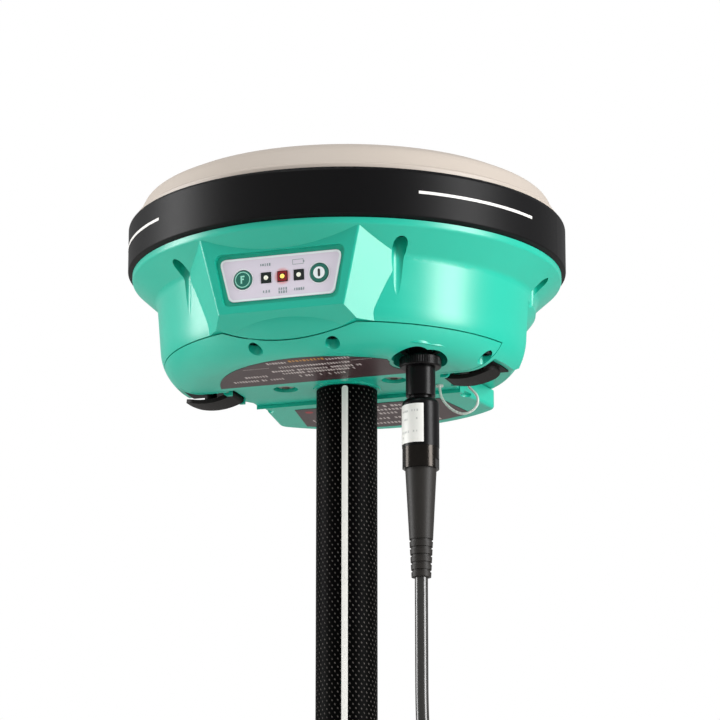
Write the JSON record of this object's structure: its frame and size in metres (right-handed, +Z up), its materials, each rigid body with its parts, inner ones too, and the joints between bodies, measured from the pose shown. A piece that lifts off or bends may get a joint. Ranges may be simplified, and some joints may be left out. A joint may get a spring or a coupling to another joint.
{
  "type": "gnss receiver",
  "caption": "Round survey satellite receiver with a pale radome and turquoise case on a carbon pole, with its data cable plugged in and strapped to the pole.",
  "frame": {"origin": "centre of the threaded foot's mouth, on the pole's axis", "axes": "+Z up along the pole to the receiver, -Y towards the control panel's side, +X to the right of it"},
  "size_m": [0.185, 0.185, 0.3965],
  "materials": {
    "radome_plastic": "satin",
    "case_plastic": "satin",
    "black_rubber": "matt",
    "black_plastic": "matt",
    "overlay_film": "satin",
    "key_plastic": "satin",
    "window_plastic": "gloss",
    "circuit_board": "satin",
    "label_film": "satin",
    "white_film": "satin",
    "steel": "satin",
    "shield_steel": "satin",
    "brass": "satin",
    "aluminium": "anodised",
    "patch_ceramic": "matt",
    "black_metal": "satin",
    "plated_nut": "gloss",
    "cable_jacket": "satin",
    "strap_webbing": "woven",
    "carbon_tube": "gloss",
    "clear_cord": "clear"
  },
  "bodies": {
    "receiver": {"radome": "radome_plastic", "main_gasket": "black_rubber", "bumper_band": "black_rubber", "lower_case": "case_plastic", "bottom_cap": "case_plastic", "case_screws": "steel", "cap_screws": "steel", "keypad_overlay": "overlay_film", "led_windows": "window_plastic", "keypad_board": "circuit_board", "pole_insert": "brass", "insert_screws": "steel", "port_socket": "black_plastic", "side_socket_left": "black_plastic", "side_socket_right": "black_plastic", "flap_pins": "steel", "door_hinge_pin": "steel", "battery_pack": "black_plastic", "battery_contacts": "brass", "front_label": "label_film", "main_board": "circuit_board", "gnss_module": "shield_steel", "radio_module": "shield_steel", "board_standoffs": "brass", "antenna_plate": "aluminium", "antenna_patch": "patch_ceramic", "antenna_feed": "brass", "plug_body": "black_metal", "plug_nut": "plated_nut", "plug_boot": "black_rubber", "cable_wrap": "white_film", "cable": "cable_jacket", "cable_coil": "cable_jacket", "cable_tail": "cable_jacket", "far_boot": "black_rubber", "far_plug": "black_metal", "coil_strap": "strap_webbing", "pole_tube": "carbon_tube", "pole_stripe": "white_film", "pole_top": "aluminium", "pole_foot": "aluminium", "tether": "clear_cord", "tether_pads": "clear_cord"},
    "function_key": {"function_key": "key_plastic"},
    "power_key": {"power_key": "key_plastic"},
    "battery_door": {"battery_door": "case_plastic", "door_label": "label_film", "door_seal": "black_rubber", "door_pad": "black_rubber"},
    "port_flap_left": {"port_flap_left": "black_rubber"},
    "port_flap_right": {"port_flap_right": "black_rubber"},
    "plug_sleeve": {"plug_sleeve": "black_metal"}
  },
  "joints": [
    {"name": "function_key_press", "type": "slide", "parent": "receiver", "child": "function_key", "axis": [0, 0.996, 0.0889], "range_m": [0, 0.0006], "stiffness_N_per_m": 1500, "springref_m": -0.0003},
    {"name": "power_key_press", "type": "slide", "parent": "receiver", "child": "power_key", "axis": [0, 0.996, 0.0889], "range_m": [0, 0.0006], "stiffness_N_per_m": 1500, "springref_m": -0.0003},
    {"name": "battery_door_swing", "type": "hinge", "parent": "receiver", "child": "battery_door", "pos_m": [0, 0.0736, 0.3076], "axis": [1, 0, 0], "range_deg": [0, 95]},
    {"name": "port_flap_left_swing", "type": "hinge", "parent": "receiver", "child": "port_flap_left", "pos_m": [-0.0479, -0.007, 0.3011], "axis": [0, -1, 0], "range_deg": [-9, 60]},
    {"name": "port_flap_right_swing", "type": "hinge", "parent": "receiver", "child": "port_flap_right", "pos_m": [0.0479, -0.007, 0.3011], "axis": [0, 1, 0], "range_deg": [0, 78]},
    {"name": "plug_sleeve_pull", "type": "slide", "parent": "receiver", "child": "plug_sleeve", "axis": [0, 0, -1], "range_m": [0, 0.0012], "stiffness_N_per_m": 800, "springref_m": -0.002}
  ]
}
